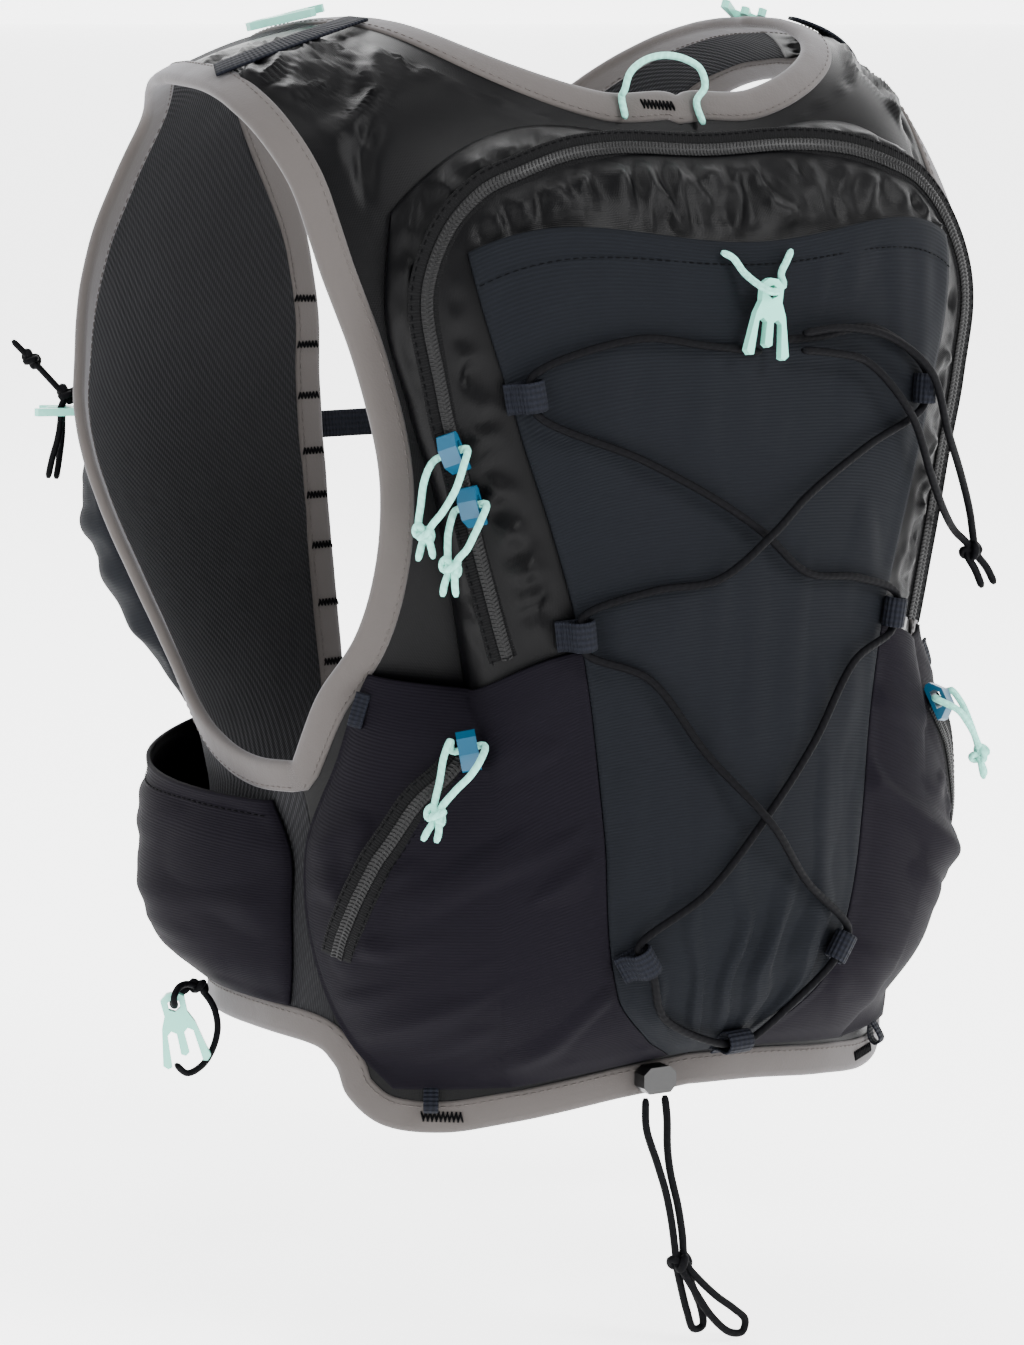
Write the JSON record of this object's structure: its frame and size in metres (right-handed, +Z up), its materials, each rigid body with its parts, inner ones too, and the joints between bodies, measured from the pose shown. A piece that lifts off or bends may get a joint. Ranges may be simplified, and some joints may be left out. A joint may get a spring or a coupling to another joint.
{
  "type": "running hydration vest",
  "caption": "Sleeveless running vest with a laced back bag, zipped side pockets, front flask pockets, open armholes and bound edges.",
  "frame": {"origin": "middle of the shoulder seat, level with the tops of the two shoulders, where the vest rests on its wearer", "axes": "+Z up, -Y the way the wearer faces, +X the wearer's left"},
  "size_m": [0.3458, 0.2924, 0.5011],
  "materials": {
    "ripstop": "thin woven nylon",
    "mesh": "open air mesh",
    "binding": "brushed elastic binding",
    "stretch": "four-way stretch mesh",
    "pocket": "stretch mesh",
    "zip": "coil zip on tape",
    "slider": "blue coated slider",
    "mint": "soft mint plastic and cord",
    "webbing": "narrow woven webbing",
    "cord": "round elastic cord"
  },
  "bodies": {
    "root": {"back_panel": "ripstop", "front_panel_left": "mesh", "armhole_binding_left": "binding", "front_panel_right": "mesh", "armhole_binding_right": "binding", "hem_binding": "binding", "neck_binding": "binding", "main_compartment": "ripstop", "outer_pocket": "stretch", "side_pocket_left": "pocket", "front_pocket_left": "pocket", "flask_pocket_left": "stretch", "side_pocket_right": "pocket", "front_pocket_right": "pocket", "flask_pocket_right": "stretch", "main_zip": "zip", "main_slider_upper": "slider", "main_pull_upper": "mint", "main_slider_lower": "slider", "main_pull_lower": "mint", "side_zip_left": "zip", "side_slider_left": "slider", "side_pull_left": "mint", "side_zip_right": "zip", "side_slider_right": "slider", "side_pull_right": "mint", "lace_tab_upper_left": "webbing", "lace_tab_middle_left": "webbing", "lace_tab_lower_left": "webbing", "lace_tab_bottom": "webbing", "lace_tab_lower_right": "webbing", "lace_tab_middle_right": "webbing", "lace_tab_upper_right": "webbing", "lace_cord": "cord", "lace_tail": "cord", "lace_hook": "mint", "hook_cord": "mint", "drawcord_lock": "webbing", "drawcord": "cord", "hang_loop": "mint", "pole_hook_left": "mint", "pole_cord_left": "cord", "flask_hook_left": "mint", "flask_cord_left": "cord", "pole_hook_right": "mint", "pole_cord_right": "cord", "flask_hook_right": "mint", "flask_cord_right": "cord", "sternum_strap": "webbing", "sternum_hook": "mint", "shoulder_strap_left": "webbing", "shoulder_hook_left": "mint", "shoulder_strap_right": "webbing", "shoulder_hook_right": "mint"}
  },
  "joints": []
}
